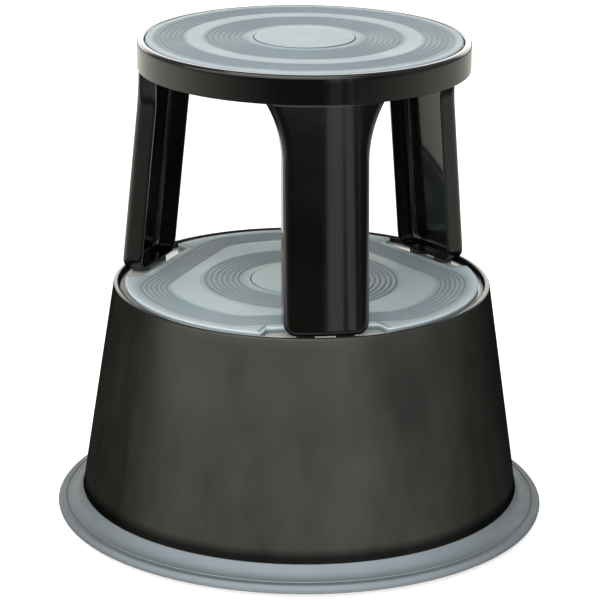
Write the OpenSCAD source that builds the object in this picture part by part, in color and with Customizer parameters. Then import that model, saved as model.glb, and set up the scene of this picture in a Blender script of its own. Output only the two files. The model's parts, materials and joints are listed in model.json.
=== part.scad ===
// Round kick step stool: a wide drum-shaped base, three pressed legs and a round top step.
// Three sprung castors inside the base hold the rubber ring just clear of the floor.
// A person's weight pushes the castors up until the ring grips the floor.
// Millimetres, +Z up. The origin is on the stool's axis, at floor level under the castor wheels.

/* [Overall] */
// Height of the top step's steel rim above the floor
rim_z = 432; // [430:1:434]
// Height of the lower step's steel deck above the floor
deck_z = 208.5; // [207.5:0.5:209.5]
// Gap between the rubber ring and the floor while nobody stands on the stool
ring_gap = 4; // [3:0.5:5]

/* [Base] */
// Outer radius of the rubber ring round the foot of the base
ring_r = 219; // [218:0.5:222]
// Outer radius of the base at the top of its side wall
lip_r = 167; // [166.5:0.5:168]
// How much the side wall widens for each millimetre it goes down
wall_slope = 0.152; // [0.15:0.001:0.154]
// Thickness of the base's sheet steel
shell_t = 1.2; // [1:0.1:1.3]

/* [Mats] */
// Radius of the lower step's rubber mat
lower_mat_r = 157; // [155:0.5:158]
// Half the width of the notches in the lower mat that the legs stand in
notch_half = 48; // [45:1:50]
// Distance from the stool's axis to the straight edge of each notch
notch_reach = 133.5; // [131:0.5:135]
// Radius of the top step's rubber mat
top_mat_r = 137.8; // [136:0.2:138.4]
// Thickness of both mats
mat_t = 5; // [4:0.5:5.5]
// Depth of the round grooves in the mats
groove_depth = 0.9; // [0.5:0.1:1.2]

/* [Top step] */
// Outer radius of the top step's steel pan
pan_r = 145.1; // [145:0.1:146.5]
// Height of the pan's outer wall
skirt_h = 25; // [22:1:28]

/* [Legs] */
// Thickness of the spacers that hold the legs' feet clear of the deck
foot_spacer_t = 4.5; // [3:0.5:6]
// Outer radius of a leg's face just above its foot
leg_foot_r = 164.4; // [163:0.2:165]
// Half the width of a leg below its flare
leg_half = 36.1; // [34:0.1:37]
// Depth of a leg's channel, from its face to the edges of its sides
leg_depth = 23.6; // [20:0.2:25]
// Thickness of the legs' sheet steel
leg_t = 1.6; // [1.2:0.1:2]

/* [Castors] */
// Distance of each castor's swivel axis from the stool's axis
castor_reach = 137; // [132:1:140]
// Radius of the castor wheels
wheel_r = 20; // [19:0.5:20.5]
// Width of the castor wheels' tyres
tyre_w = 18; // [16:1:18]
// Distance of each wheel's axle from the swivel axis
trail = 18; // [16:1:19]

/* [Hidden] */
$fn = 96;

gloss_black = [0.05, 0.05, 0.05];
mat_grey = [0.60, 0.66, 0.68];
ring_grey = [0.42, 0.49, 0.54];
zinc = [0.72, 0.73, 0.75];
nylon = [0.90, 0.89, 0.84];
tyre_grey = [0.22, 0.22, 0.23];

// Base: wall, rolled lip and deck
lip_z = deck_z + 4.5;
lip_inner_r = lip_r - 5;
bead_z = lip_z - 2.5;
edge_z = ring_gap + 4;
bead_r = (wall_r(bead_z) - lip_inner_r) / 2;

// Rubber ring: its groove for the steel edge is a little wider than the steel
edge_gap = 0.1;
ring_top_z = ring_gap + 18.6;
ring_inner_r = wall_r(edge_z) - 7.9;
ring_step_z = ring_gap + 8;

// Mats
disc_rise = 0.8;
lower_disc_r = 44.7;
top_disc_r = 43.5;
groove_w = 1.6;
lower_inner_grooves = [56.1, 61, 65.8, 70.6, 75.5, 80.4, 85.3];
lower_outer_grooves = [123.6, 127.8, 131.9, 136, 140.2, 144.3];
top_inner_grooves = [55.3, 60, 64.7, 69.4, 74.1, 78.8, 83.5];
top_outer_grooves = [106.3, 110.9, 115.5, 120.1, 124.7];
// Outer grooves of the lower mat run straight past the legs, this much closer in than their radius
groove_flat = 20;

// Top pan: raised rim round a plate
pan_t = 1.2;
pan_bead_r = 3.25;
pan_inner_r = pan_r - 2 * pan_bead_r;
plate_z = rim_z - mat_t + 0.5;
plate_under_z = plate_z - pan_t;
skirt_z = rim_z - skirt_h;

// Legs: each face meets the pan's wall flush, then steps in so that its head fits inside
foot_z = deck_z + foot_spacer_t;
leg_top_z = plate_under_z;
leg_step_z = skirt_z - 0.4;
leg_head_r = pan_r - pan_t - 0.3;
leg_corner_r = 9.5;
leg_bend_r = 5.5;
leg_lean = (leg_foot_r - pan_r) / (leg_step_z - foot_z - leg_bend_r);
flare_z = leg_top_z - 69.3;
flare_r = 97;
flare_angle = 31;
flare_half = leg_half + 14.3;
foot_spacer_r = 8;
foot_stud_tang = 17;
foot_stud_reach = 150;
head_stud_tang = 30;
head_stud_reach = 130;
stud_r = 3;
stud_clear = 0.3;
nut_h = 5;
nut_r = 5.77;
// Farther from the stool's axis than any part of a leg
far = 200;

// Castors, from the floor up
axle_z = wheel_r;
axle_r = 3;
hub_r = wheel_r - 5;
hub_half = 10.1;
cheek_in = hub_half + 0.4;
cheek_t = 2.5;
cheek_out = cheek_in + cheek_t;
crown_z = 2 * wheel_r + 4;
crown_t = 2.5;
crown_top = crown_z + crown_t;
crown_r = 14;
ball_r = 2;
ball_ring_r = 10;
ball_count = 8;
ball_z = crown_top + 1.4;
groove_ball_r = ball_r + 0.05;
race_under = ball_z + ball_r + 0.35;
race_t = 1.6;
race_top = race_under + race_t;
neck_r = 4;
stem_r = 5;
run_gap = 0.05;
collar_t = 2;
collar_top = race_top + collar_t;
washer_t = 1.2;
washer_top = collar_top + washer_t;
bush_z = washer_top + 20.8;
bush_flange_t = 2;
plate_low = bush_z + bush_flange_t;
bracket_t = 2.5;
bush_r = 7;
bush_top = bush_z + 16;
clip_z = bush_top + 0.3;
clip_t = 1.2;
stem_top = clip_z + clip_t + 5;
bracket_half = 34;
bracket_inner = castor_reach - 28;
wire_r = 1;
coil_r = 8.5;
coil_turns = 5.5;
coil_steps = 20;

// Outer radius of the base's side wall at height z
function wall_r(z) = lip_r + wall_slope * (deck_z + 4.5 - z);

// Points of an arc about the point c
function arc(c, r, from, to, steps = 6) =
    [for (i = [0 : steps]) let (a = from + (to - from) * i / steps) c + r * [cos(a), sin(a)]];

// Points of a smooth curve from a to b that leaves and arrives along the lines through m
function bow(a, m, b, steps = 6) =
    [for (i = [0 : steps]) let (s = i / steps) (1 - s) * (1 - s) * a + 2 * s * (1 - s) * m + s * s * b];

// Turns its children from the front to leg k: 0 is the front leg, 1 the right and 2 the left
module at_leg(k) {
    rotate([0, 0, 120 * k])
        children();
}

// Copies its children to castor k: its local X axis points away from the stool's axis
module at_castor(k) {
    rotate([0, 0, 90 - 120 * (k - 1)])
        translate([castor_reach, 0, 0])
            children();
}

// ---- Base -------------------------------------------------------------------------------

module base_shell() {
    color(gloss_black)
        difference() {
            rotate_extrude()
                polygon(concat(
                    [[wall_r(edge_z), edge_z]],
                    arc([lip_inner_r + bead_r, bead_z], bead_r, 0, 180, 10),
                    [[lip_inner_r, deck_z], [0, deck_z], [0, deck_z - shell_t]],
                    [[lip_inner_r + shell_t, deck_z - shell_t]],
                    arc([lip_inner_r + bead_r, bead_z], bead_r - shell_t, 180, 0, 10),
                    [[wall_r(edge_z) - shell_t, edge_z]]));
            foot_stud_places()
                translate([0, 0, deck_z - shell_t - 1])
                    cylinder(r = stud_r + stud_clear, h = shell_t + 2);
        }
}

// The ring's outline: a rounded foot, a step, a hollow upper band and the groove for the steel edge
module base_ring() {
    slot_r = wall_r(edge_z) + edge_gap;
    foot_round = 3.2;
    step_round = 2.8;
    seam_r = ring_r - 8;
    seam_depth = 0.6;
    color(ring_grey)
        rotate_extrude()
            polygon(concat(
                [[ring_inner_r, ring_gap]],
                arc([ring_r - foot_round, ring_gap + foot_round], foot_round, -90, 0),
                arc([ring_r - step_round, ring_step_z - step_round], step_round, 0, 90),
                [[seam_r + 0.6, ring_step_z], [seam_r + 0.2, ring_step_z - seam_depth]],
                [[seam_r - 0.2, ring_step_z - seam_depth]],
                bow([seam_r - 0.6, ring_step_z + 0.4], [ring_r - 19.5, ring_step_z + 1],
                    [wall_r(ring_top_z) + 1.5, ring_top_z], 8),
                [[wall_r(ring_top_z) + edge_gap, ring_top_z], [slot_r, edge_z]],
                [[slot_r - shell_t - 2 * edge_gap, edge_z]],
                [[wall_r(ring_top_z - 4) - shell_t - edge_gap, ring_top_z - 4]],
                [[ring_inner_r, ring_top_z - 7]]));
}

// Ring-shaped grooves, groove_depth deep, cut down from height z
module round_grooves(radii, z) {
    for (r = radii)
        rotate_extrude()
            translate([r - groove_w / 2, z - groove_depth])
                square([groove_w, groove_depth + 1]);
}

// A disc with three flats that face the legs
module flatted_disc(r, flat_reach, h) {
    difference() {
        cylinder(r = r, h = h);
        for (k = [0 : 2])
            at_leg(k)
                translate([-r, -r - flat_reach, -1])
                    cube([2 * r, r, h + 2]);
    }
}

module flatted_groove(r, z) {
    translate([0, 0, z - groove_depth])
        difference() {
            flatted_disc(r + groove_w / 2, r + groove_w / 2 - groove_flat, groove_depth + 1);
            translate([0, 0, -1])
                flatted_disc(r - groove_w / 2, r - groove_w / 2 - groove_flat, groove_depth + 3);
        }
}

module lower_mat() {
    top = deck_z + mat_t;
    color(mat_grey)
        difference() {
            union() {
                translate([0, 0, deck_z])
                    cylinder(r = lower_mat_r, h = mat_t);
                translate([0, 0, deck_z])
                    cylinder(r = lower_disc_r, h = mat_t + disc_rise);
            }
            for (k = [0 : 2])
                at_leg(k)
                    translate([-notch_half, -notch_reach - 60, deck_z - 1])
                        cube([2 * notch_half, 60, mat_t + 2]);
            round_grooves(lower_inner_grooves, top);
            for (r = lower_outer_grooves)
                flatted_groove(r, top);
        }
}

// ---- Legs -------------------------------------------------------------------------------

// Outer radius of a leg's face at height z, below its head
function leg_r(z) = leg_foot_r - leg_lean * (z - foot_z - leg_bend_r);

// Centre of the bend between a leg's face and its foot
function leg_bend() = [leg_r(foot_z + leg_bend_r) - leg_bend_r, foot_z + leg_bend_r];

// Solid of revolution under a leg's curved face, drawn in by the given distance
module leg_face(in) {
    rotate_extrude()
        polygon(concat(
            [[80, foot_z + in]],
            arc(leg_bend(), leg_bend_r - in, -90, 0),
            [[leg_r(leg_step_z - in) - in, leg_step_z - in], [leg_head_r - in, leg_step_z - in]],
            [[leg_head_r - in, leg_top_z - in], [80, leg_top_z - in]]));
}

// Half the outline of a leg seen from outside the stool, drawn in by the given distance
function leg_side(in) =
    let (
        half = leg_half - in,
        flare_end = [leg_half + flare_r, flare_z]
            + (flare_r + in) * [cos(180 - flare_angle), sin(180 - flare_angle)],
        head_half = flare_half - in,
        head_z = flare_end.y + (head_half - flare_end.x) / tan(flare_angle))
    concat(
        arc([leg_half - leg_corner_r, foot_z + leg_corner_r], leg_corner_r - in, -90, 0),
        arc([leg_half + flare_r, flare_z], flare_r + in, 180, 180 - flare_angle, 8),
        [[head_half, head_z], [head_half, leg_top_z - in]]);

module leg_outline(in) {
    side = leg_side(in);
    rotate([90, 0, 0])
        linear_extrude(height = far)
            polygon(concat(side, [for (i = [len(side) - 1 : -1 : 0]) [-side[i].x, side[i].y]]));
}

// Everything farther out than the inner edges of the leg's sides
module leg_reach() {
    low = leg_r(foot_z) - leg_depth;
    high = leg_r(leg_top_z) - leg_depth;
    rotate([90, 0, -90])
        linear_extrude(height = 2 * far, center = true)
            polygon([[low, foot_z - 1], [far, foot_z - 1], [far, leg_top_z + 1], [high, leg_top_z + 1]]);
}

// Copies its children to the two studs at the foot of every leg
module foot_stud_places() {
    for (k = [0 : 2])
        at_leg(k)
            for (side = [-1, 1])
                translate([side * foot_stud_tang, -foot_stud_reach, 0])
                    children();
}

// Copies its children to the two studs at the head of every leg
module head_stud_places() {
    for (k = [0 : 2])
        at_leg(k)
            for (side = [-1, 1])
                translate([side * head_stud_tang, -head_stud_reach, 0])
                    children();
}

module leg(k) {
    color(gloss_black)
        difference() {
            at_leg(k)
                difference() {
                    intersection() {
                        leg_face(0);
                        leg_outline(0);
                        leg_reach();
                    }
                    intersection() {
                        leg_face(leg_t);
                        leg_outline(leg_t);
                    }
                }
            head_stud_places()
                translate([0, 0, leg_top_z - leg_t - 1])
                    cylinder(r = stud_r + stud_clear, h = leg_t + 2);
        }
}

module leg_front() {
    leg(0);
}

module leg_right() {
    leg(1);
}

module leg_left() {
    leg(2);
}

// Round rubber spacers between the deck and the legs' feet, one on each stud
module leg_foot_spacers() {
    color(tyre_grey)
        foot_stud_places()
            translate([0, 0, deck_z])
                difference() {
                    cylinder(r = foot_spacer_r, h = foot_spacer_t);
                    translate([0, 0, -1])
                        cylinder(r = stud_r + run_gap, h = foot_spacer_t + 2);
                }
}

module leg_foot_studs() {
    low = deck_z - shell_t - nut_h - 3;
    color(zinc)
        foot_stud_places()
            translate([0, 0, low])
                cylinder(r = stud_r, h = foot_z - low);
}

module leg_head_studs() {
    color(zinc)
        head_stud_places()
            translate([0, 0, leg_top_z - leg_t - nut_h - 3])
                cylinder(r = stud_r, h = leg_t + nut_h + 3);
}

module nut(z) {
    translate([0, 0, z])
        difference() {
            cylinder(r = nut_r, h = nut_h, $fn = 6);
            translate([0, 0, -1])
                cylinder(r = stud_r + run_gap, h = nut_h + 2);
        }
}

module leg_foot_nuts() {
    color(zinc)
        foot_stud_places()
            nut(deck_z - shell_t - nut_h);
}

module leg_head_nuts() {
    color(zinc)
        head_stud_places()
            nut(leg_top_z - leg_t - nut_h);
}

// ---- Top step ---------------------------------------------------------------------------

module top_pan() {
    bead = [pan_r - pan_bead_r, rim_z - pan_bead_r];
    color(gloss_black)
        rotate_extrude()
            polygon(concat(
                [[pan_r, skirt_z]],
                arc(bead, pan_bead_r, 0, 180, 10),
                [[pan_inner_r, plate_z], [0, plate_z], [0, plate_under_z]],
                [[pan_inner_r + pan_t, plate_under_z]],
                arc(bead, pan_bead_r - pan_t, 180, 0, 10),
                [[pan_r - pan_t, skirt_z]]));
}

module top_mat() {
    top = plate_z + mat_t;
    color(mat_grey)
        difference() {
            union() {
                translate([0, 0, plate_z])
                    cylinder(r = top_mat_r, h = mat_t);
                translate([0, 0, plate_z])
                    cylinder(r = top_disc_r, h = mat_t + disc_rise);
            }
            round_grooves(top_inner_grooves, top);
            round_grooves(top_outer_grooves, top);
        }
}

// ---- Castor supports in the base --------------------------------------------------------

// Pressed shelf with two upright sides and a collar, trimmed to the inside of the side wall
module castor_bracket(k) {
    wall_gap = 0.05;
    side_h = 26;
    low = plate_low;
    high = plate_low + side_h;
    color(gloss_black)
        intersection() {
            rotate_extrude()
                polygon([
                    [0, low - 1], [wall_r(low - 1) - shell_t - wall_gap, low - 1],
                    [wall_r(high + 1) - shell_t - wall_gap, high + 1], [0, high + 1]]);
            at_castor(k)
                difference() {
                    union() {
                        translate([bracket_inner - castor_reach, -bracket_half, low])
                            cube([100, 2 * bracket_half, bracket_t]);
                        for (side = [0, 1])
                            mirror([0, side, 0])
                                bracket_side(low, side_h);
                        translate([0, 0, low])
                            cylinder(r = bush_r + 3.5, h = bush_top - 2 - low);
                    }
                    translate([0, 0, low - 1])
                        cylinder(r = bush_r + run_gap, h = 40);
                }
        }
}

// Upright side of a castor bracket, with its free end cut at a slant
module bracket_side(low, side_h) {
    start = bracket_inner - castor_reach;
    side_l = 72;
    slant_l = 24;
    free_h = bracket_t + 3;
    translate([0, bracket_half, low])
        rotate([90, 0, 0])
            linear_extrude(height = bracket_t)
                polygon([[start, 0], [start + side_l, 0], [start + side_l, side_h],
                    [start + slant_l, side_h], [start, free_h]]);
}

// Flanged sleeve that the castor's stem slides in
module guide_bush(k) {
    color(nylon)
        at_castor(k)
            rotate_extrude()
                polygon([
                    [stem_r + run_gap, bush_z], [bush_r + 4, bush_z], [bush_r + 4, plate_low],
                    [bush_r, plate_low], [bush_r, bush_top], [stem_r + run_gap, bush_top]]);
}

// ---- Castor parts that slide up and down ------------------------------------------------

// Stem with a riveted lower end, a collar that the spring pushes on and a groove for the clip
module castor_stem(k) {
    rivet_r = 6.5;
    rivet_top = crown_z - 0.3;
    collar_r = 12;
    chamfer = 1;
    groove_r = stem_r - 0.8;
    groove_top = clip_z + clip_t + 0.1;
    color(zinc)
        at_castor(k)
            rotate_extrude()
                polygon([
                    [0, rivet_top - 2 * chamfer], [rivet_r - chamfer, rivet_top - 2 * chamfer],
                    [rivet_r, rivet_top - chamfer], [rivet_r, rivet_top],
                    [neck_r, rivet_top], [neck_r, race_top], [collar_r, race_top], [collar_r, collar_top],
                    [stem_r, collar_top], [stem_r, clip_z], [groove_r, clip_z],
                    [groove_r, groove_top], [stem_r, groove_top],
                    [stem_r, stem_top - chamfer], [stem_r - chamfer, stem_top], [0, stem_top]]);
}

// Open retaining clip above the bush
module castor_clip(k) {
    clip_r = 8;
    mouth_half = 3;
    color(zinc)
        at_castor(k)
            translate([0, 0, clip_z])
                difference() {
                    cylinder(r = clip_r, h = clip_t);
                    translate([0, 0, -1])
                        cylinder(r = stem_r - 0.75, h = clip_t + 2);
                    translate([0, -mouth_half, -1])
                        cube([clip_r + 1, 2 * mouth_half, clip_t + 2]);
                }
}

// Flat washer that the lower end of the spring sits on
module castor_washer(k) {
    color(zinc)
        at_castor(k)
            translate([0, 0, collar_top])
                difference() {
                    cylinder(r = 11.5, h = washer_t);
                    translate([0, 0, -1])
                        cylinder(r = stem_r + 0.1, h = washer_t + 2);
                }
}

// Pressed upper half of the swivel's ball race
module castor_race(k) {
    skirt_in = ball_ring_r + ball_r + 0.6;
    skirt_out = skirt_in + 1.2;
    color(zinc)
        at_castor(k)
            rotate_extrude()
                polygon([
                    [neck_r + run_gap, race_under], [skirt_in, race_under], [skirt_in, crown_top + 0.7],
                    [skirt_out, crown_top + 0.7], [skirt_out, race_top - 1], [skirt_out - 1, race_top],
                    [neck_r + run_gap, race_top]]);
}

// ---- Springs ----------------------------------------------------------------------------

// Compression spring from the washer to the underside of the bush, with its end coils closed
module castor_spring(k) {
    rings = coil_turns * coil_steps;
    sides = 8;
    low = washer_top + wire_r;
    rise = bush_z - washer_top - 2 * wire_r;
    points = [for (i = [0 : rings])
        let (turn = i / coil_steps, round = 360 * turn, level = coil_level(i / rings))
            for (j = [0 : sides - 1])
                let (a = 360 * j / sides, r = coil_r + wire_r * cos(a))
                    [r * cos(round), r * sin(round), low + rise * level + wire_r * sin(a)]];
    walls = [for (i = [0 : rings - 1])
        for (j = [0 : sides - 1])
            let (a = i * sides + j, b = i * sides + (j + 1) % sides)
                [a, a + sides, b + sides, b]];
    color(zinc)
        at_castor(k)
            polyhedron(
                points = points,
                faces = concat(
                    [[for (j = [0 : sides - 1]) j]],
                    walls,
                    [[for (j = [sides - 1 : -1 : 0]) rings * sides + j]]));
}

// Share of the spring's height reached along its wire: flat for the first and last coil
function coil_level(s) =
    let (flat = 0.9 / coil_turns, t = (s - flat) / (1 - 2 * flat), gap = 0.115)
        s < flat ? gap * s / flat
        : s > 1 - flat ? 1 - gap * (1 - s) / flat
        : gap + (1 - 2 * gap) * t;

// ---- Castor parts that swivel -----------------------------------------------------------

module castor_balls(k) {
    color(zinc)
        at_castor(k)
            for (i = [0 : ball_count - 1])
                rotate([0, 0, 360 * i / ball_count])
                    translate([ball_ring_r, 0, ball_z])
                        sphere(r = ball_r);
}

// Pressed fork: a round crown over two cheeks that reach down to the axle
module castor_fork(k) {
    color(zinc)
        at_castor(k)
            difference() {
                union() {
                    translate([0, 0, crown_z])
                        cylinder(r = crown_r, h = crown_t);
                    translate([-2, -cheek_out, crown_z])
                        cube([crown_r + 2, 2 * cheek_out, crown_t]);
                    for (side = [0, 1])
                        mirror([0, side, 0])
                            fork_cheek();
                }
                translate([0, 0, crown_z - 1])
                    cylinder(r = neck_r + run_gap, h = crown_t + 2);
                rotate_extrude()
                    translate([ball_ring_r, ball_z])
                        circle(r = groove_ball_r);
                translate([trail, -cheek_out - 1, axle_z])
                    rotate([-90, 0, 0])
                        cylinder(r = axle_r + 0.1, h = 2 * cheek_out + 2);
            }
}

module fork_cheek() {
    eye_r = 8;
    translate([0, cheek_out, 0])
        rotate([90, 0, 0])
            linear_extrude(height = cheek_t)
                union() {
                    translate([trail, axle_z])
                        circle(r = eye_r);
                    polygon([[-2, crown_top], [crown_r, crown_top], [trail + eye_r, axle_z],
                        [trail - eye_r * cos(45), axle_z - eye_r * sin(45)], [-2, crown_z - 6]]);
                }
}

// Axle bolt across the fork, with a hexagonal head
module castor_axle(k) {
    color(zinc)
        at_castor(k)
            translate([trail, 0, axle_z])
                rotate([-90, 0, 0])
                    union() {
                        translate([0, 0, -cheek_out - 3])
                            cylinder(r = 5.5, h = 3, $fn = 6);
                        translate([0, 0, -cheek_out - 1])
                            cylinder(r = axle_r, h = 2 * cheek_out + 6);
                    }
}

module castor_nut(k) {
    color(zinc)
        at_castor(k)
            translate([trail, 0, axle_z])
                rotate([-90, 0, 0])
                    difference() {
                        translate([0, 0, cheek_out])
                            cylinder(r = 5.5, h = 4, $fn = 6);
                        cylinder(r = axle_r + run_gap, h = 30);
                    }
}

// ---- Castor parts that roll -------------------------------------------------------------

// Nylon wheel body: a long boss, a thin web and a rim with low edges
module castor_hub(k) {
    rim_half = tyre_w / 2 - 0.5;
    color(nylon)
        at_castor(k)
            translate([trail, 0, axle_z])
                rotate([-90, 0, 0])
                    rotate_extrude()
                        polygon([
                            [axle_r + run_gap, -hub_half], [6, -hub_half], [6.5, -3], [hub_r - 3, -2.5],
                            [hub_r - 2, -rim_half], [hub_r, -rim_half], [hub_r, rim_half],
                            [hub_r - 2, rim_half], [hub_r - 3, 2.5], [6.5, 3], [6, hub_half],
                            [axle_r + run_gap, hub_half]]);
}

module castor_tyre(k) {
    half = tyre_w / 2;
    shoulder = 2.5;
    color(tyre_grey)
        at_castor(k)
            translate([trail, 0, axle_z])
                rotate([-90, 0, 0])
                    rotate_extrude()
                        polygon(concat(
                            [[hub_r, -half + 0.5], [hub_r + 0.5, -half]],
                            arc([wheel_r - shoulder, shoulder - half], shoulder, -90, 0),
                            arc([wheel_r - shoulder, half - shoulder], shoulder, 0, 90),
                            [[hub_r + 0.5, half], [hub_r, half - 0.5]]));
}

base_shell();
lower_mat();
base_ring();
castor_bracket(1);  // castor_bracket_1
castor_bracket(2);  // castor_bracket_2
castor_bracket(3);  // castor_bracket_3
guide_bush(1);  // guide_bush_1
guide_bush(2);  // guide_bush_2
guide_bush(3);  // guide_bush_3
leg_front();
leg_right();
leg_left();
leg_foot_spacers();
leg_foot_studs();
leg_foot_nuts();
leg_head_studs();
leg_head_nuts();
top_pan();
top_mat();
castor_stem(1);  // castor_1_stem
castor_stem(2);  // castor_2_stem
castor_stem(3);  // castor_3_stem
castor_clip(1);  // castor_1_clip
castor_clip(2);  // castor_2_clip
castor_clip(3);  // castor_3_clip
castor_washer(1);  // castor_1_washer
castor_washer(2);  // castor_2_washer
castor_washer(3);  // castor_3_washer
castor_race(1);  // castor_1_race
castor_race(2);  // castor_2_race
castor_race(3);  // castor_3_race
castor_spring(1);  // castor_1_spring
castor_spring(2);  // castor_2_spring
castor_spring(3);  // castor_3_spring
castor_balls(1);  // castor_1_balls
castor_balls(2);  // castor_2_balls
castor_balls(3);  // castor_3_balls
castor_fork(1);  // castor_1_fork
castor_fork(2);  // castor_2_fork
castor_fork(3);  // castor_3_fork
castor_axle(1);  // castor_1_axle
castor_axle(2);  // castor_2_axle
castor_axle(3);  // castor_3_axle
castor_nut(1);  // castor_1_nut
castor_nut(2);  // castor_2_nut
castor_nut(3);  // castor_3_nut
castor_hub(1);  // castor_1_hub
castor_hub(2);  // castor_2_hub
castor_hub(3);  // castor_3_hub
castor_tyre(1);  // castor_1_tyre
castor_tyre(2);  // castor_2_tyre
castor_tyre(3);  // castor_3_tyre
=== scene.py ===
"""Round kick step stool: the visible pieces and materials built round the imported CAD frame.

Lengths in this script are millimetres in the stool's own frame (+Z up, front leg on -Y) and become
metres where a mesh, light or camera is made. The stool's outside sizes come from the frame's boxes.
"""

import json
import math

import bmesh
import bpy
from mathutils import Matrix, Vector


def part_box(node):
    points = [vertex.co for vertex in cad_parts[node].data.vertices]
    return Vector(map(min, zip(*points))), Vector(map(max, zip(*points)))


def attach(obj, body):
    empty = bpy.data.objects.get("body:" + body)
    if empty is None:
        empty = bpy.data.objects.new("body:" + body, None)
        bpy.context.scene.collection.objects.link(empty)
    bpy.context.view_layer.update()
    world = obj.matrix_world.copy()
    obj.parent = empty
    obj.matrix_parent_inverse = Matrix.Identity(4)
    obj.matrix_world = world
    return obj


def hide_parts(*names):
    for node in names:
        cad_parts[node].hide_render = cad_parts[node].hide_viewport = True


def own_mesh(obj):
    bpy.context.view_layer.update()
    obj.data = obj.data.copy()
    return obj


MM = 0.001
# How far round the stool the camera stands, to the left of the front leg, in degrees
CAMERA_TURN = 7.8
# Faces that meet at more than this angle have a sharp edge between them, in degrees
CREASE_ANGLE = 38.0
# Number of straight sides that stand for a circle round the stool's axis
ROUND_SIDES = 288
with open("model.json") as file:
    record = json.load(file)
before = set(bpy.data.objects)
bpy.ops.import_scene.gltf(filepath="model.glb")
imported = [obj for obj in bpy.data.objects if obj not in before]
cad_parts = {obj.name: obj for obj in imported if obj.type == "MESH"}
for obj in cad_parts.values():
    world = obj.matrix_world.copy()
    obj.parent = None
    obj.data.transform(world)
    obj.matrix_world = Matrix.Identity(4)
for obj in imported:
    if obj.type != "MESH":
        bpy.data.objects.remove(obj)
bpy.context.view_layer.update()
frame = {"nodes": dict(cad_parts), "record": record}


# ---- Sizes, from the frame -----------------------------------------------------------------


def node_box(node):
    """Lowest and highest corner of a CAD node, in millimetres."""
    low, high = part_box(node)
    return low / MM, high / MM


SHELL_LOW, SHELL_HIGH = node_box("base_shell")
RING_LOW, RING_HIGH = node_box("base_ring")
PAN_LOW, PAN_HIGH = node_box("top_pan")
LOWER_MAT_LOW, LOWER_MAT_HIGH = node_box("lower_mat")
TOP_MAT_LOW, TOP_MAT_HIGH = node_box("top_mat")
LEG_LOW, LEG_HIGH = node_box("leg_front")

# Base shell: a cone with a rolled lip round a sunken deck
WALL_SLOPE = 0.152
SHELL_T = 1.2
EDGE_Z = SHELL_LOW.z
LIP_Z = SHELL_HIGH.z
DECK_Z = LOWER_MAT_LOW.z
LIP_R = SHELL_HIGH.x - WALL_SLOPE * (LIP_Z - EDGE_Z)
LIP_INNER_R = LIP_R - 5.0

# Mats
MAT_T = 5.0
MAT_EDGE_R = 1.6
DISC_EDGE_R = 0.5
MOAT_DEPTH = 1.1
GROOVE_DEPTH = 0.9
GROOVE_HALF = 1.5
LOWER_MAT_R = 157.0
LOWER_DISC_R = 44.7
NOTCH_HALF = 48.0
NOTCH_REACH = 133.5
OUTER_FLAT = 20.0
LOWER_INNER_GROOVES = [56.1 + 4.87 * i for i in range(7)]
LOWER_OUTER_GROOVES = [123.6 + 4.14 * i for i in range(6)]
TOP_MAT_R = TOP_MAT_HIGH.x
TOP_DISC_R = 43.5
TOP_INNER_GROOVES = [55.3 + 4.7 * i for i in range(7)]
TOP_OUTER_GROOVES = [106.3 + 4.6 * i for i in range(5)]
# A mat's faces that meet at more than this angle have a sharp edge between them, in degrees
MAT_CREASE = 55.0
# How much painted shade a mat gets between its grooves and at their bottom, where 1 is darkest
BAND_SHADE = 0.6
GROOVE_SHADE = 0.95

# Top pan
PAN_T = 1.2
PAN_R = PAN_HIGH.x
PAN_BEAD_R = 3.25
RIM_Z = PAN_HIGH.z
SKIRT_Z = PAN_LOW.z
PLATE_Z = TOP_MAT_LOW.z

# Legs: pressed channels, web outwards
LEG_T = 1.6
LEG_FOOT_R = 164.4
LEG_HALF = 36.1
LEG_HEAD_HALF = LEG_HIGH.x
LEG_DEPTH = 23.6
LEG_BEND_R = 5.5
LEG_CORNER_R = 9.5
LEG_FOOT_Z = LEG_LOW.z
LEG_TOP_Z = LEG_HIGH.z
LEG_STEP_Z = SKIRT_Z - 0.4
LEG_STEP_RISE = 0.01
LEG_LEAN = (LEG_FOOT_R - PAN_R) / (LEG_STEP_Z - LEG_FOOT_Z - LEG_BEND_R)
LEG_HEAD_R = PAN_R - PAN_T - 0.3
FLARE_Z = LEG_TOP_Z - 69.3
FLARE_R = 97.0


# ---- Mesh tools ------------------------------------------------------------------------------


def make_object(name, points, faces, crease_angle=CREASE_ANGLE):
    """A mesh object from points in millimetres, smooth except across sharp edges."""
    mesh = bpy.data.meshes.new(name)
    mesh.from_pydata([Vector(p) * MM for p in points], [], faces)
    piece = bpy.data.objects.new(name, mesh)
    bpy.context.scene.collection.objects.link(piece)
    tidy_mesh(mesh, crease_angle)
    return piece


def tidy_mesh(mesh, crease_angle):
    """Joins doubled points, turns the faces outwards and sets the sharp edges."""
    shape = bmesh.new()
    shape.from_mesh(mesh)
    bmesh.ops.remove_doubles(shape, verts=shape.verts, dist=1e-6)
    bmesh.ops.recalc_face_normals(shape, faces=shape.faces)
    shape.to_mesh(mesh)
    shape.free()
    mesh.shade_smooth()
    mesh.set_sharp_from_angle(angle=math.radians(crease_angle))
    mesh.update()


def apply_modifiers(piece):
    """Leaves the piece with the mesh that its modifiers make."""
    graph = bpy.context.evaluated_depsgraph_get()
    mesh = bpy.data.meshes.new_from_object(piece.evaluated_get(graph))
    piece.modifiers.clear()
    piece.data = mesh
    mesh.shade_smooth()
    mesh.set_sharp_from_angle(angle=math.radians(CREASE_ANGLE))


def arc(centre, radius, start, end, steps):
    """Points of an arc about centre, from start to end in degrees."""
    turns = [math.radians(start + (end - start) * i / steps) for i in range(steps + 1)]
    return [(centre[0] + radius * math.cos(t), centre[1] + radius * math.sin(t)) for t in turns]


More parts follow.
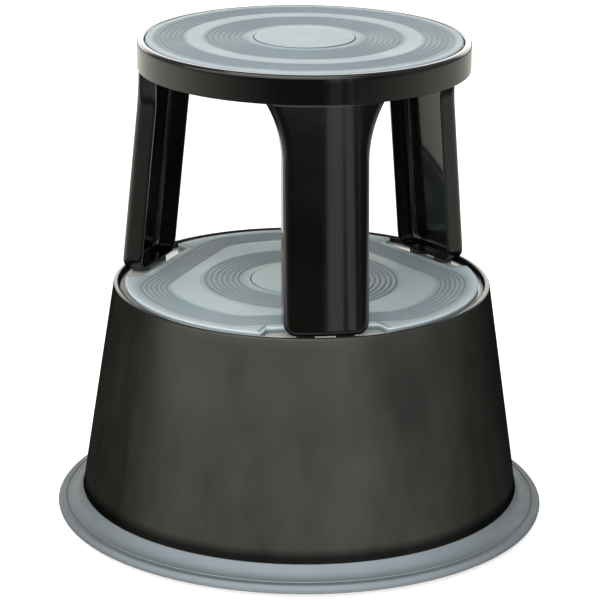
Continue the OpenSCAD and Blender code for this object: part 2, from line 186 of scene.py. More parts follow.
def rounded(corners, steps):
    """A closed outline through corners (x, y, radius), with each corner rounded."""
    outline = []
    count = len(corners)
    for i, (x, y, radius) in enumerate(corners):
        here = Vector((x, y))
        back = Vector(corners[i - 1][:2]) - here
        ahead = Vector(corners[(i + 1) % count][:2]) - here
        turn = back.angle(ahead)
        if radius <= 0 or abs(turn - math.pi) < 1e-3:
            outline.append(here)
            continue
        reach = min(radius / math.tan(turn / 2), back.length * 0.499, ahead.length * 0.499)
        radius = reach * math.tan(turn / 2)
        start = here + back.normalized() * reach
        end = here + ahead.normalized() * reach
        inwards = (back.normalized() + ahead.normalized()).normalized()
        centre = here + inwards * (radius / math.sin(turn / 2))
        for k in range(steps + 1):
            outline.append(centre + slerp(start - centre, end - centre, k / steps))
    return [tuple(p) for p in outline]


def slerp(a, b, share):
    """The vector a turned towards b by a share of the angle between them."""
    angle = a.angle(b)
    if angle < 1e-6:
        return a.copy()
    return (a * math.sin((1 - share) * angle) + b * math.sin(share * angle)) / math.sin(angle)


def long_sides_split(outline, longest):
    """The same closed outline with no side longer than the given length."""
    split = []
    for i, point in enumerate(outline):
        ahead = outline[(i + 1) % len(outline)]
        pieces = max(1, math.ceil(math.dist(point, ahead) / longest))
        for k in range(pieces):
            share = k / pieces
            split.append(tuple(a + (b - a) * share for a, b in zip(point, ahead)))
    return split


def lathe(name, outline, longest, crease_angle=CREASE_ANGLE):
    """Turns a closed outline of (radius, height) round the stool's axis."""
    outline = long_sides_split(outline, longest)
    points = []
    for k in range(ROUND_SIDES):
        turn = 2 * math.pi * k / ROUND_SIDES
        points += [(r * math.cos(turn), r * math.sin(turn), z) for r, z in outline]
    faces = []
    count = len(outline)
    for k in range(ROUND_SIDES):
        here, there = k * count, (k + 1) % ROUND_SIDES * count
        for i in range(count):
            j = (i + 1) % count
            if outline[i][0] < 1e-6 and outline[j][0] < 1e-6:
                continue
            quad = [here + i, there + i, there + j, here + j]
            if outline[i][0] < 1e-6:
                quad = [here + i, there + j, here + j]
            elif outline[j][0] < 1e-6:
                quad = [here + i, there + i, here + j]
            faces.append(quad)
    return make_object(name, points, faces, crease_angle)


def bridge(rings, close=True):
    """Faces between rings of equal length, numbered one ring after the other."""
    count = len(rings[0])
    last = count if close else count - 1
    faces = []
    for k in range(len(rings) - 1):
        for i in range(last):
            j = (i + 1) % count
            faces.append([k * count + i, k * count + j, (k + 1) * count + j, (k + 1) * count + i])
    return faces


# ---- Base ------------------------------------------------------------------------------------


def wall_r(z):
    """Outer radius of the base's side wall at height z."""
    return LIP_R + WALL_SLOPE * (LIP_Z - z)


def make_base_shell():
    """Side wall, rolled lip and deck, pressed from one sheet."""
    inner_top = LIP_Z - SHELL_T
    outline = rounded([
        (wall_r(EDGE_Z), EDGE_Z, 0.4),
        (wall_r(LIP_Z), LIP_Z, 2.4),
        (LIP_INNER_R, LIP_Z, 2.4),
        (LIP_INNER_R, DECK_Z, 1.0),
        (0, DECK_Z, 0),
        (0, DECK_Z - SHELL_T, 0),
        (LIP_INNER_R + SHELL_T, DECK_Z - SHELL_T, 2.0),
        (LIP_INNER_R + SHELL_T, inner_top, 1.2),
        (wall_r(inner_top) - SHELL_T, inner_top, 1.2),
        (wall_r(EDGE_Z) - SHELL_T, EDGE_Z, 0.4),
    ], steps=8)
    return lathe("base_shell_skin", outline, longest=9.0)


def make_base_ring():
    """Rubber ring: rounded foot, raised lip, fine groove and a hollow band up to the wall."""
    foot_z = RING_LOW.z
    top_z = RING_HIGH.z
    outer_r = RING_HIGH.x
    inner_r = wall_r(EDGE_Z) - 7.9
    step_z = foot_z + 8.0
    gap = 0.1
    start = Vector((outer_r - 8.8, step_z + 0.5))
    knee = Vector((outer_r - 19.5, step_z + 1.0))
    end = Vector((wall_r(top_z) + 1.3, top_z))
    hollow = []
    for i in range(13):
        s = i / 12
        p = start * (1 - s) ** 2 + knee * 2 * s * (1 - s) + end * s * s
        hollow.append((p.x, p.y, 0))
    outline = rounded([
        (inner_r, foot_z, 1.5),
        (outer_r - 1.4, foot_z, 2.6),
        (outer_r, step_z - 3.2, 2.6),
        (outer_r - 2.2, step_z - 0.1, 2.2),
        (outer_r - 7.3, step_z, 0.5),
        (outer_r - 7.7, step_z - 0.7, 0.25),
        (outer_r - 8.3, step_z - 0.7, 0.25),
        *hollow,
        (wall_r(top_z) + gap, top_z, 0.3),
        (wall_r(EDGE_Z) + gap, EDGE_Z, 0),
        (wall_r(EDGE_Z) - SHELL_T - gap, EDGE_Z, 0),
        (wall_r(top_z - 4) - SHELL_T - gap, top_z - 4, 0.5),
        (inner_r, top_z - 7, 1.5),
    ], steps=6)
    return lathe("base_ring_rubber", outline, longest=6.0)


# ---- Mats ------------------------------------------------------------------------------------


def groove_rows(centres):
    """(radius, depth) rows across round-bottomed grooves."""
    rows = []
    for centre in centres:
        for share in (-1.0, -0.62, -0.3, 0.0, 0.3, 0.62, 1.0):
            depth = 0.5 * GROOVE_DEPTH * (1 + math.cos(math.pi * share))
            rows.append((centre + share * GROOVE_HALF, depth))
    return rows


def mark_grooves(piece, top, bands, plain=0.0):
    """Writes the painted shade of each point of a mat: plain on top, more in the grooved bands, most at
    the foot of its edge.

    Each band is (inner radius, outer radius, how far its flats lie in).
    """
    shade = piece.data.attributes.new("groove", "FLOAT", "POINT")
    for vertex, value in zip(piece.data.vertices, shade.data):
        x, y, z = vertex.co / MM
        r, angle = math.hypot(x, y), math.atan2(y, x)
        # Painted shade: the lower part of the mat's edge wall is darkest
        value.value = plain if z > top - 0.6 * MAT_T else 1.0
        for low, high, inset in bands:
            if flat_round(low, inset, angle) <= r <= flat_round(high, inset, angle) and z > top - 2:
                depth = min(1, max(0, top - z) / GROOVE_DEPTH)
                value.value = plain + BAND_SHADE + (GROOVE_SHADE - BAND_SHADE - plain) * depth


def band(centres, inset=0, border=0.2):
    """The stretch of mat that a set of grooves covers, with a border outside them."""
    return (centres[0] - GROOVE_HALF - 0.2, centres[-1] + GROOVE_HALF + border, inset)


def moat(disc_r):
    """The stretch of mat that the moat round its centre disc covers, as a band."""
    return (disc_r - 0.1, disc_r + 1.2, 0)


def disc_edge(disc_r, disc_z, top):
    """(radius, height) rows over a centre disc's rounded edge and through the fine moat round it."""
    rows = arc((disc_r - DISC_EDGE_R, disc_z - DISC_EDGE_R), DISC_EDGE_R, 90, 0, 4)
    return rows + [(disc_r + 0.1, top - MOAT_DEPTH), (disc_r + 1.0, top - MOAT_DEPTH), (disc_r + 1.5, top)]


def make_top_mat():
    """Round mat: raised centre disc, two grooved bands and a rounded edge."""
    top = TOP_MAT_LOW.z + MAT_T
    disc = TOP_MAT_HIGH.z
    outline = [(0, TOP_MAT_LOW.z), (0, disc)]
    outline += [(r, disc) for r in (12, 24, 34)]
    outline += disc_edge(TOP_DISC_R, disc, top)
    outline += [(r, top - d) for r, d in groove_rows(TOP_INNER_GROOVES)]
    outline += [(r, top) for r in (90, 96, 101)]
    outline += [(r, top - d) for r, d in groove_rows(TOP_OUTER_GROOVES)]
    outline += [(130, top), (133, top)]
    outline += arc((TOP_MAT_R - MAT_EDGE_R, top - MAT_EDGE_R), MAT_EDGE_R, 90, 0, 6)
    outline += [(TOP_MAT_R - 0.4, TOP_MAT_LOW.z)]
    mat = lathe("top_mat_rubber", outline, longest=16.0, crease_angle=MAT_CREASE)
    bands = [moat(TOP_DISC_R), band(TOP_INNER_GROOVES), band(TOP_OUTER_GROOVES, 0, 6)]
    # plain=0.3 is painted shade over the whole top mat, toning down the stronger light it gets than the
    # lower mat
    mark_grooves(mat, top, bands, plain=0.3)
    return mat


def notch_outline():
    """(angle, radius) points of half a third of the lower mat's edge, from a leg's middle on."""
    inner_corner, outer_corner = 1.5, 2.5
    points = [(6 * i, NOTCH_REACH) for i in range(7)]
    points += arc((NOTCH_HALF - inner_corner, NOTCH_REACH + inner_corner), inner_corner, -90, 0, 5)
    across = NOTCH_HALF + outer_corner
    along = math.sqrt((LOWER_MAT_R - outer_corner) ** 2 - across ** 2)
    out = math.degrees(math.atan2(along, across))
    points += arc((across, along), outer_corner, 180, out, 8)
    start = 90 - out
    for i in range(1, 17):
        turn = math.radians(start + (60 - start) * i / 16)
        points.append((LOWER_MAT_R * math.sin(turn), LOWER_MAT_R * math.cos(turn)))
    return points


def mat_edge():
    """The lower mat's whole edge as (angle from +X, radius) pairs that go once round."""
    least_turn = 0.002
    half = [(math.atan2(x, y), math.hypot(x, y)) for x, y in notch_outline()]
    for i in range(1, len(half)):
        half[i] = (max(half[i][0], half[i - 1][0] + least_turn), half[i][1])
    edge = []
    for k in range(3):
        leg = math.radians(-90 + 120 * k)
        edge += [(leg - a, r) for a, r in reversed(half[1:-1])]
        edge += [(leg + a, r) for a, r in half]
    return edge


def flat_round(r, inset, angle):
    """Radius at an angle of a circle of radius r with three soft flats that face the legs."""
    if inset <= 0:
        return r
    from_leg = (math.degrees(angle) + 90 + 60) % 120 - 60
    flat = (r - inset) / math.cos(math.radians(from_leg))
    sharpness = 46
    return (r ** -sharpness + flat ** -sharpness) ** (-1 / sharpness)


def make_lower_mat():
    """Mat with three notches for the legs, and outer grooves that run straight past them."""
    low, top, disc = LOWER_MAT_LOW.z, LOWER_MAT_LOW.z + MAT_T, LOWER_MAT_HIGH.z
    edge = mat_edge()
    angles = [a for a, _ in edge]
    rows = [(6, disc, 0), (18, disc, 0), (32, disc, 0)]
    rows += [(r, z, 0) for r, z in disc_edge(LOWER_DISC_R, disc, top)]
    rows += [(r, top - d, 0) for r, d in groove_rows(LOWER_INNER_GROOVES)]
    rows += [(93, top, 4), (101, top, 10), (110, top, 15), (117, top, 18)]
    rows += [(r, top - d, OUTER_FLAT) for r, d in groove_rows(LOWER_OUTER_GROOVES)]
    rings = [[(flat_round(r, inset, a), a, z) for a in angles] for r, z, inset in rows]
    flat = [Vector((r * math.cos(a), r * math.sin(a))) for a, r in edge]
    normals = outline_normals(flat)
    rim = [(top, 3.0)]
    rim += [(top - MAT_EDGE_R + z, MAT_EDGE_R - x) for x, z in arc((0, 0), MAT_EDGE_R, 90, 0, 6)]
    rim += [(low, 0.3)]
    for z, drawn_in in rim:
        ring = [p - n * drawn_in for p, n in zip(flat, normals)]
        rings.append([(p.length, math.atan2(p.y, p.x), z) for p in ring])
    points = [(r * math.cos(a), r * math.sin(a), z) for ring in rings for r, a, z in ring]
    faces = bridge(rings)
    count = len(angles)
    points += [(0, 0, disc), (0, 0, low)]
    centre, under = len(points) - 2, len(points) - 1
    last = (len(rings) - 1) * count
    for i in range(count):
        j = (i + 1) % count
        faces.append([centre, j, i])
        faces.append([under, last + i, last + j])
    mat = make_object("lower_mat_rubber", points, faces, crease_angle=MAT_CREASE)
    bands = [moat(LOWER_DISC_R), band(LOWER_INNER_GROOVES), band(LOWER_OUTER_GROOVES, OUTER_FLAT)]
    mark_grooves(mat, top, bands)
    return mat


def outline_normals(points):
    """Outward normals of a closed outline that goes anticlockwise."""
    normals = []
    count = len(points)
    for i in range(count):
        along = points[(i + 1) % count] - points[i - 1]
        normals.append(Vector((along.y, -along.x)).normalized())
    return normals


# ---- Top pan ---------------------------------------------------------------------------------


def make_top_pan():
    """Round plate with a raised, rolled rim and a plain skirt."""
    inner_r = PAN_R - 2 * PAN_BEAD_R
    outline = rounded([
        (PAN_R, SKIRT_Z, 0.5),
        (PAN_R, RIM_Z, PAN_BEAD_R),
        (inner_r, RIM_Z, PAN_BEAD_R),
        (inner_r, PLATE_Z, 0.8),
        (0, PLATE_Z, 0),
        (0, PLATE_Z - PAN_T, 0),
        (inner_r + PAN_T, PLATE_Z - PAN_T, 2.0),
        (inner_r + PAN_T, RIM_Z - PAN_T, PAN_BEAD_R - PAN_T),
        (PAN_R - PAN_T, RIM_Z - PAN_T, PAN_BEAD_R - PAN_T),
        (PAN_R - PAN_T, SKIRT_Z, 0.5),
    ], steps=10)
    return lathe("top_pan_skin", outline, longest=6.0)


# ---- Legs ------------------------------------------------------------------------------------


def leg_line_r(z):
    """Radius at height z of the straight line that a leg leans along."""
    return LEG_FOOT_R - LEG_LEAN * (z - LEG_FOOT_Z - LEG_BEND_R)


def leg_face_r(z):
    """Radius of a leg's face at height z: the head steps in to fit inside the pan's skirt."""
    return LEG_HEAD_R if z > LEG_STEP_Z + LEG_STEP_RISE / 2 else leg_line_r(z)


def leg_half_width(z, inset):
    """Half the width of a leg at height z, above its foot's corners, drawn in by inset."""
    if z <= FLARE_Z:
        return LEG_HALF - inset
    flared = LEG_HALF + FLARE_R - math.sqrt((FLARE_R + inset) ** 2 - (z - FLARE_Z) ** 2)
    return min(flared, LEG_HEAD_HALF - inset)


def leg_side(inset):
    """Right edge of a leg's outline, drawn in by inset, as (across, height) from foot to head."""
    corner_z = LEG_FOOT_Z + LEG_CORNER_R
    head_z = LEG_STEP_Z + 1.1
    levels = [corner_z + (FLARE_Z - corner_z) * i / 20 for i in range(1, 21)]
    levels += [FLARE_Z + (LEG_STEP_Z - FLARE_Z) * i / 14 for i in range(1, 14)]
    levels += [LEG_STEP_Z - 0.7, LEG_STEP_Z, LEG_STEP_Z + LEG_STEP_RISE]
    levels += [head_z + (LEG_TOP_Z - inset - head_z) * i / 5 for i in range(6)]
    side = arc((LEG_HALF - LEG_CORNER_R, corner_z), LEG_CORNER_R - inset, -90, 0, 8)
    return side + [(leg_half_width(z, inset), z) for z in levels]


def leg_loop(inset, columns):
    """A leg's whole outline, drawn in by inset: up the right edge, over the head and down."""
    side = leg_side(inset)
    foot_half, head_half = side[0][0], side[-1][0]
    shares = [2 * i / columns - 1 for i in range(1, columns)]
    loop = list(side)
    loop += [(-head_half * s, side[-1][1]) for s in shares]
    loop += [(-x, z) for x, z in reversed(side)]
    loop += [(foot_half * s, side[0][1]) for s in shares]
    return loop


def leg_web(side, columns):
    """Rows of (across, height) that fill the leg's face, foot to head."""
    return [[(x * (2 * i / columns - 1), z) for i in range(columns + 1)] for x, z in side]


def make_leg(name, turn):
    """Pressed channel: a curved face, bends all round it and straight sides, as one sheet."""
    columns, bends, depths = 16, 7, 4

    def place(x, z, drop):
        """The point of the sheet at x and height z, moved in towards the axis by drop."""
        along = math.sqrt(leg_face_r(z) ** 2 - x * x) - drop
        return (x, -along, z)

    web = leg_web(leg_side(LEG_BEND_R), columns)
    points = [place(x, z, 0) for row in web for x, z in row]
    faces = bridge(web, close=False)
    rings = []
    for k in range(bends + 1):
        angle = math.radians(90 * k / bends)
        inset = LEG_BEND_R * (1 - math.sin(angle))
        drop = LEG_BEND_R * (1 - math.cos(angle))
        rings.append([place(x, z, drop) for x, z in leg_loop(inset, columns)])
    loop = leg_loop(0, columns)
    for k in range(1, depths + 1):
        ring = []
        for (x, z), (_, start_y, _) in zip(loop, rings[bends]):
            end_y = -(leg_line_r(z) - LEG_DEPTH)
            ring.append((x, start_y + (end_y - start_y) * k / depths, z))
        rings.append(ring)
    start = len(points)
    points += [p for ring in rings for p in ring]
    faces += [[start + i for i in face] for face in bridge(rings)]
    spin = Matrix.Rotation(math.radians(turn), 3, "Z")
    piece = make_object(name, [spin @ Vector(p) for p in points], faces)
    face_away_from_axis(piece.data)
    sheet = piece.modifiers.new("sheet", "SOLIDIFY")
    sheet.thickness = LEG_T * MM
    sheet.offset = -1
    sheet.use_even_offset = True
    edges = piece.modifiers.new("edges", "BEVEL")
    edges.width = 0.35 * MM
    edges.segments = 2
    edges.limit_method = "ANGLE"
    edges.angle_limit = math.radians(60)
    apply_modifiers(piece)
    return piece


def face_away_from_axis(mesh):
    """Flips an open sheet's faces if its face points at the stool's axis."""
    outward = sum(p.normal.dot(Vector((p.center.x, p.center.y, 0))) * p.area for p in mesh.polygons)
    if outward < 0:
        mesh.flip_normals()


# ---- Castor springs --------------------------------------------------------------------------


def make_spring(number):
    """Round-wire compression spring with closed end coils, between its washer and bush."""
    low, high = node_box(f"castor_{number}_spring")
    centre = (low + high) / 2
    wire_r, turns, steps, sides = 1.0, 5.5, 36, 14
    coil_r = (high.x - low.x) / 2 - wire_r
    count = int(turns * steps)
    # Each end coil is this share of the wire's length and rises by this share of the height
    flat = 0.9 / turns
    closed = 0.115
    rings = []
    for i in range(count + 1):
        s = i / count
        if s < flat:
            level = closed * s / flat
        elif s > 1 - flat:
            level = 1 - closed * (1 - s) / flat
        else:
            level = closed + (1 - 2 * closed) * (s - flat) / (1 - 2 * flat)
        z = low.z + wire_r + (high.z - low.z - 2 * wire_r) * level
        turn = 2 * math.pi * turns * s
        ring = []
        for k in range(sides):
            a = 2 * math.pi * k / sides
            r = coil_r + wire_r * math.cos(a)
            across, along = r * math.cos(turn), r * math.sin(turn)
            ring.append((centre.x + across, centre.y + along, z + wire_r * math.sin(a)))
        rings.append(ring)
    points = [p for ring in rings for p in ring]
    faces = bridge(rings)
    faces.append(list(range(sides)))
    faces.append([count * sides + k for k in reversed(range(sides))])
    return make_object(f"castor_{number}_spring_wire", points, faces)


# ---- Materials -------------------------------------------------------------------------------


class Graph:
    """A material's node tree, with short calls to add and join nodes."""

    def __init__(self, name):
        self.material = bpy.data.materials.new(name)
        self.material.use_nodes = True
        self.tree = self.material.node_tree
        self.shader = self.tree.nodes["Principled BSDF"]
        self.place = self.add("ShaderNodeTexCoord").outputs["Object"]

    def add(self, kind, **settings):
        """A new node of one kind, with its settings."""
        node = self.tree.nodes.new(kind)
        for key, value in settings.items():
            setattr(node, key, value)
        return node

    def join(self, output, socket):
        """Links a node's output to a socket."""
        self.tree.links.new(output, socket)

    def noise(self, scale, detail, roughness=0.5, stretch=(1, 1, 1)):
        """A noise pattern in metres: scale is its number of features in a metre."""
        mapping = self.add("ShaderNodeMapping")
        mapping.inputs["Scale"].default_value = stretch
        self.join(self.place, mapping.inputs["Vector"])
        node = self.add("ShaderNodeTexNoise")
        node.inputs["Scale"].default_value = scale
        node.inputs["Detail"].default_value = detail
        node.inputs["Roughness"].default_value = roughness
        self.join(mapping.outputs["Vector"], node.inputs["Vector"])
        return node.outputs["Fac"]

    def height(self, vector):
        """The upward part of a place or a direction."""
        split = self.add("ShaderNodeSeparateXYZ")
        self.join(vector, split.inputs[0])
        return split.outputs["Z"]

    def radius(self):
        """Distance from the stool's upright axis."""
        flat = self.add("ShaderNodeVectorMath", operation="MULTIPLY")
        flat.inputs[1].default_value = (1, 1, 0)
        self.join(self.place, flat.inputs[0])
        length = self.add("ShaderNodeVectorMath", operation="LENGTH")
        self.join(flat.outputs["Vector"], length.inputs[0])
        return length.outputs["Value"]

    def ramp(self, value, stops):
        """A colour or grey ramp; stops are (position, grey or colour)."""
        node = self.add("ShaderNodeValToRGB")
        while len(node.color_ramp.elements) < len(stops):
            node.color_ramp.elements.new(0.5)
        for element, (position, colour) in zip(node.color_ramp.elements, stops):
            element.position = position
            shade = (colour,) * 3 if isinstance(colour, float) else tuple(colour)
            element.color = (*shade, 1)
        self.join(value, node.inputs["Fac"])
        return node.outputs["Color"]

    def multiply(self, first, second, share=1.0):
        """Darkens the first colour by the second one, wholly or by a share."""
        node = self.add("ShaderNodeMix", data_type="RGBA", blend_type="MULTIPLY")
        node.inputs["Factor"].default_value = share
        self.join(first, node.inputs[6])
        self.join(second, node.inputs[7])
        return node.outputs[2]

    def blend(self, share, first, second):
        """Goes from the first value to a second, fixed one."""
        node = self.add("ShaderNodeMix", data_type="FLOAT")
        self.join(share, node.inputs[0])
        self.join(first, node.inputs[2])
        node.inputs[3].default_value = second
        return node.outputs[0]

    def cover(self, share, colour, under):
        """Lays a plain colour over another one."""
        node = self.add("ShaderNodeMix", data_type="RGBA")
        self.join(share, node.inputs["Factor"])
        self.join(under, node.inputs[6])
        node.inputs[7].default_value = (*colour, 1)
        return node.outputs[2]

    def bump(self, height, distance_mm, strength, under=None):
        """Normals of an uneven surface, on top of another bump if there is one."""
        node = self.add("ShaderNodeBump")
        node.inputs["Strength"].default_value = strength
        node.inputs["Distance"].default_value = distance_mm * MM
        self.join(height, node.inputs["Height"])
        if under is not None:
            self.join(under, node.inputs["Normal"])
        return node.outputs["Normal"]

    def set(self, **sockets):
        """Sets the shader's sockets: underscores in a name stand for spaces."""
        for key, value in sockets.items():
            socket = self.shader.inputs[key.replace("_", " ")]
            if isinstance(value, bpy.types.NodeSocket):
                self.join(value, socket)
            elif isinstance(value, tuple):
                socket.default_value = (*value, 1)
            else:
                socket.default_value = value
        return self.material


def gloss_paint():
    """Black stove enamel on the pan and legs: deep gloss with a trace of orange peel."""
    g = Graph("gloss_black_enamel")
    tone = g.ramp(g.noise(9, 4), [(0.3, (0.0008, 0.0009, 0.0007)), (0.75, (0.0016, 0.0016, 0.0013))])
    haze = g.ramp(g.noise(26, 5, 0.6), [(0.35, 0.06), (0.7, 0.11)])
    wave = g.bump(g.noise(22, 2), 0.5, 0.10)
    peel = g.bump(g.noise(620, 2), 0.05, 0.25, wave)
    return g.set(Base_Color=tone, Roughness=haze, Normal=peel, Coat_Weight=0.2, Coat_Roughness=0.03)


def base_paint():
    """Black enamel on the base: satin and mottled, with painted shade just above the ring; the deck under
    the mat is glossier and painted pale as a painted highlight.
    """
    g = Graph("satin_black_enamel")
    level = g.height(g.place)
    facing_up = g.height(g.add("ShaderNodeNewGeometry").outputs["Normal"])
    flat = g.ramp(facing_up, [(0.6, 0.0), (0.85, 1.0)])
    # Painted shade: the wall is darker and reflects less for about 10 mm above the ring's top
    ring_shade = g.ramp(level, [((RING_HIGH.z + 7.5) * MM, 0.22), ((RING_HIGH.z + 10) * MM, 1.0)])
    deck = g.ramp(level, [((DECK_Z + 0.5) * MM, 1.0), ((DECK_Z + 1.0) * MM, 0.0)])
    under_mat = g.ramp(g.radius(), [((LOWER_MAT_R - 0.5) * MM, 1.0), ((LOWER_MAT_R + 0.5) * MM, 0.0)])
    # Painted highlight: the deck under the mat is coloured pale, standing in for the white it shows beside
    # the legs
    painted_pale_deck = g.multiply(g.multiply(flat, deck), under_mat)
    above_deck = g.ramp(level, [((DECK_Z + 1.0) * MM, 0.0), ((DECK_Z + 2.0) * MM, 1.0)])
    lip = g.multiply(flat, above_deck)
    mottle = g.noise(15, 6, 0.62, (1, 1, 0.55))
    tone = g.ramp(mottle, [(0.3, (0.0056, 0.0058, 0.0051)), (0.72, (0.0165, 0.0168, 0.0146))])
    haze = g.ramp(g.noise(21, 6, 0.65, (1, 1, 0.4)), [(0.3, 0.27), (0.75, 0.42)])
    facing = g.add("ShaderNodeLayerWeight").outputs["Facing"]
    sheen = g.ramp(facing, [(0.22, 0.5), (0.36, 0.08), (0.45, 0.0)])
    wave = g.bump(g.noise(12, 3, 0.5, (1, 1, 0.5)), 0.9, 0.14)
    peel = g.bump(g.noise(560, 2), 0.05, 0.35, wave)
    paint = g.cover(painted_pale_deck, (0.80, 0.79, 0.74), g.multiply(tone, ring_shade))
    haze = g.blend(lip, g.blend(painted_pale_deck, haze, 0.10), 0.10)
    sheen = g.blend(lip, g.blend(painted_pale_deck, g.multiply(sheen, ring_shade), 0.5), 0.25)
    return g.set(Base_Color=paint, Roughness=haze, Normal=peel, Specular_IOR_Level=sheen)


def rubber(name, light, dark):
    """Moulded rubber: slight clouding, fine grain, and painted shade in the grooved bands, the grooves and
    the foot of a mat's edge.
    """
    g = Graph(name)
    cloud = g.ramp(g.noise(14, 6, 0.6), [(0.25, dark), (0.75, light)])
    speck = g.ramp(g.noise(900, 3, 0.7), [(0.3, 0.90), (0.6, 1.0)])
    grooves = g.add("ShaderNodeAttribute", attribute_name="groove")
    # Painted shade: the groove attribute darkens the grooved bands, the groove bottoms and the foot of a
    # mat's edge
    painted_groove_shade = g.ramp(grooves.outputs["Fac"], [(0.0, 1.0), (1.0, (0.38, 0.41, 0.44))])
    tone = g.multiply(g.multiply(cloud, speck, 0.8), painted_groove_shade)
    haze = g.ramp(g.noise(40, 5, 0.6), [(0.3, 0.55), (0.7, 0.70)])
    grain = g.bump(g.noise(1500, 3, 0.6), 0.06, 0.5)
    return g.set(Base_Color=tone, Roughness=haze, Normal=grain)


def zinc():
    """Bright zinc plate with a fine satin scratch."""
    g = Graph("zinc_plate")
    tone = g.ramp(g.noise(70, 5), [(0.3, (0.50, 0.51, 0.54)), (0.7, (0.66, 0.67, 0.69))])
    haze = g.ramp(g.noise(160, 4), [(0.3, 0.24), (0.7, 0.40)])
    scratch = g.bump(g.noise(1400, 2, 0.5, (1, 1, 0.06)), 0.03, 0.5)
    return g.set(Base_Color=tone, Roughness=haze, Normal=scratch, Metallic=1.0)


def spring_wire():
    """Oiled spring wire, darker than the plated parts."""
    g = Graph("spring_wire")
    tone = g.ramp(g.noise(110, 4), [(0.3, (0.20, 0.20, 0.21)), (0.7, (0.34, 0.34, 0.35))])
    haze = g.ramp(g.noise(300, 3), [(0.3, 0.26), (0.7, 0.38)])
    return g.set(Base_Color=tone, Roughness=haze, Metallic=1.0)


def nylon():
    """Natural nylon, slightly cloudy."""
    g = Graph("natural_nylon")
    tone = g.ramp(g.noise(60, 4), [(0.3, (0.66, 0.64, 0.57)), (0.7, (0.76, 0.745, 0.68))])
    grain = g.bump(g.noise(1200, 2), 0.03, 0.4)
    return g.set(Base_Color=tone, Roughness=0.42, Normal=grain, Subsurface_Weight=0.06)


SLOT_MATERIALS = {
    "gloss_paint": gloss_paint(),
    "base_paint": base_paint(),
    "mat_rubber": rubber("mat_rubber", (0.435, 0.518, 0.543), (0.388, 0.463, 0.492)),
    "ring_rubber": rubber("ring_rubber", (0.10, 0.116, 0.127), (0.088, 0.103, 0.113)),
    "castor_rubber": rubber("castor_rubber", (0.055, 0.055, 0.06), (0.035, 0.035, 0.04)),
    "zinc_steel": zinc(),
    "spring_steel": spring_wire(),
    "nylon": nylon(),
}


# ---- Putting the pieces on the frame -----------------------------------------------------------


def finish_piece(piece, slot, body, *nodes):
    """Gives a made piece its material, its body and the CAD nodes that it stands for."""
    piece.data.materials.clear()
    piece.data.materials.append(SLOT_MATERIALS[slot])
    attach(piece, body)
    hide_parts(*nodes)
    return piece


def paint_cad_nodes():
    """Every CAD node takes the material of its own slot."""
    for part in frame["record"]["subparts"]:
        mesh = frame["nodes"][part["node"]].data
        mesh.materials.clear()
        mesh.materials.append(SLOT_MATERIALS[part["material_slot"]])


def make_springs():
    """Each spring hangs from its bush, in the place of its CAD node."""
    for number in (1, 2, 3):
        node = f"castor_{number}_spring"
        piece = finish_piece(make_spring(number), "spring_steel", "base", node)
        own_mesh(piece)


def make_pieces():
    """Every visible piece, each in its place of a CAD node."""
    paint_cad_nodes()
    finish_piece(make_base_shell(), "base_paint", "base", "base_shell")
    finish_piece(make_base_ring(), "ring_rubber", "base", "base_ring")
    finish_piece(make_lower_mat(), "mat_rubber", "base", "lower_mat")
    finish_piece(make_top_mat(), "mat_rubber", "base", "top_mat")
    finish_piece(make_top_pan(), "gloss_paint", "base", "top_pan")
    for node, turn in (("leg_front", 0), ("leg_right", 120), ("leg_left", 240)):
        finish_piece(make_leg(f"{node}_sheet", turn), "gloss_paint", "base", node)
    make_springs()


# ---- Floor, light and camera -------------------------------------------------------------------


def make_floor():
    """Plain pale floor."""
    half = 9000
    floor = make_object("floor", [(-half, -half, 0), (half, -half, 0), (half, half, 0), (-half, half, 0)],
                        [[0, 1, 2, 3]])
    g = Graph("pale_floor")
    tone = g.ramp(g.noise(3, 3), [(0.3, (0.90, 0.90, 0.895)), (0.7, (0.92, 0.92, 0.915))])
    floor.data.materials.append(g.set(Base_Color=tone, Roughness=0.9, Emission_Color=(1.0, 1.0, 1.0),
                                      Emission_Strength=0.45))
    floor.visible_glossy = False
    floor.visible_diffuse = False


def softbox(name, spot, aim, width, height, power):
    """A soft area light at spot (millimetres) that faces aim, unseen by the camera."""
    data = bpy.data.lights.new(name, "AREA")
    data.shape = "RECTANGLE"
    data.size = width * MM
    data.size_y = height * MM
    data.energy = power
    light = bpy.data.objects.new(name, data)
    light.location = Vector(spot) * MM
    light.rotation_euler = (Vector(aim) - Vector(spot)).to_track_quat("-Z", "Y").to_euler()
    light.visible_camera = False
    bpy.context.scene.collection.objects.link(light)
    return light


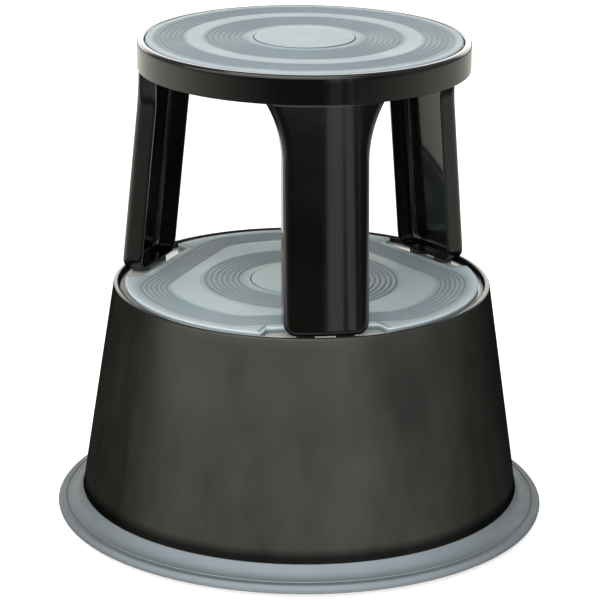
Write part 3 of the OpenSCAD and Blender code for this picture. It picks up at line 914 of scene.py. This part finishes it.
def make_world():
    """Studio surround: bright above and behind, dark low in front and pale low at the sides."""
    world = bpy.data.worlds.new("studio")
    bpy.context.scene.world = world
    world.use_nodes = True
    tree = world.node_tree
    back = tree.nodes["Background"]
    place = tree.nodes.new("ShaderNodeTexCoord")

    def part(axis, turn=0.0):
        """One part of the direction, seen with the surround turned by some degrees."""
        mapping = tree.nodes.new("ShaderNodeMapping")
        mapping.inputs["Rotation"].default_value = (0, 0, math.radians(turn))
        tree.links.new(place.outputs["Generated"], mapping.inputs["Vector"])
        split = tree.nodes.new("ShaderNodeSeparateXYZ")
        tree.links.new(mapping.outputs["Vector"], split.inputs[0])
        return split.outputs[axis]

    def step(value, start, end, interpolation="SMOOTHSTEP"):
        """Goes from 0 at start to 1 at end."""
        node = tree.nodes.new("ShaderNodeMapRange")
        node.interpolation_type = interpolation
        node.inputs["From Min"].default_value = start
        node.inputs["From Max"].default_value = end
        tree.links.new(value, node.inputs["Value"])
        return node.outputs["Result"]

    def times(first, second):
        """The product of two values."""
        node = tree.nodes.new("ShaderNodeMath")
        node.operation = "MULTIPLY"
        tree.links.new(first, node.inputs[0])
        tree.links.new(second, node.inputs[1])
        return node.outputs[0]

    def blend(share, first, second):
        """Goes from first to second; each is a colour or another blend."""
        node = tree.nodes.new("ShaderNodeMix")
        node.data_type = "RGBA"
        tree.links.new(share, node.inputs["Factor"])
        for socket, colour in ((node.inputs[6], first), (node.inputs[7], second)):
            if isinstance(colour, tuple):
                socket.default_value = (*colour, 1)
            else:
                tree.links.new(colour, socket)
        return node.outputs[2]

    def upright_streaks():
        """Uneven upright stripes, as of furniture seen far away."""
        mapping = tree.nodes.new("ShaderNodeMapping")
        mapping.inputs["Scale"].default_value = (11, 11, 1.6)
        tree.links.new(place.outputs["Generated"], mapping.inputs["Vector"])
        noise = tree.nodes.new("ShaderNodeTexNoise")
        noise.inputs["Scale"].default_value = 1.0
        noise.inputs["Detail"].default_value = 2.0
        tree.links.new(mapping.outputs["Vector"], noise.inputs["Vector"])
        return step(noise.outputs["Fac"], 0.36, 0.56)

    height = part("Z")
    ahead = part("Y", CAMERA_TURN)
    across = part("X", CAMERA_TURN)
    on_left = step(across, 0.3, -0.3)
    streak = times(times(step(across, 0.21, 0.31), step(across, 0.66, 0.54)), upright_streaks())
    sides_far = blend(on_left, (0.10, 0.10, 0.09), (0.40, 0.39, 0.36))
    sides_near = blend(on_left, (0.75, 0.73, 0.67), (1.10, 1.07, 0.98))
    sides = blend(step(height, -0.14, -0.20), sides_far, sides_near)
    sides = blend(step(height, -0.36, -0.46), sides, (0.12, 0.12, 0.12))
    front_far = blend(streak, (0.03, 0.031, 0.027), (0.80, 0.76, 0.80))
    front_near = blend(streak, (0.03, 0.031, 0.028), (0.22, 0.22, 0.21))
    front = blend(step(height, -0.15, -0.20), front_far, front_near)
    front = blend(step(height, -0.45, -0.60), front, (0.70, 0.70, 0.68))
    low = blend(step(ahead, 0.10, -0.95, "LINEAR"), sides, front)
    high = blend(step(part("Y", CAMERA_TURN + 27), -0.30, -0.65), (0.36, 0.37, 0.385), (1.90, 1.88, 1.78))
    window = times(step(ahead, 0.60, 0.85), step(height, 0.62, 0.35))
    high = blend(window, high, (3.0, 2.95, 2.80))
    tree.links.new(blend(step(height, -0.05, 0.04), low, high), back.inputs["Color"])


def make_lights():
    """A wide light overhead, and a low one in front that brightens the near side of the ring."""
    softbox("overhead", (-300, -700, 2100), (0, 0, 300), width=2200, height=1800, power=24)
    low = softbox("low_front", (-260, -1880, 200), (0, 0, 60), width=900, height=260, power=70)
    low.visible_glossy = False


def make_camera():
    """The viewpoint: in front, a little to the left of the front leg, looking down."""
    aside, distance, height = -1.3, 2320.0, 937.0
    tilt, roll = 17.765, 0.65
    data = bpy.data.cameras.new("camera")
    data.sensor_width = 36.0
    data.lens = 163.8
    camera = bpy.data.objects.new("camera", data)
    spin = Matrix.Rotation(math.radians(-CAMERA_TURN), 4, "Z")
    place = Matrix.Translation(Vector((aside, -distance, height)) * MM)
    look = Matrix.Rotation(math.radians(90 - tilt), 4, "X")
    level = Matrix.Rotation(math.radians(roll), 4, "Z")
    camera.matrix_world = spin @ place @ look @ level
    bpy.context.scene.collection.objects.link(camera)
    bpy.context.scene.camera = camera


bpy.context.scene.view_settings.view_transform = "Standard"
make_camera()
make_pieces()
make_floor()
make_world()
make_lights()
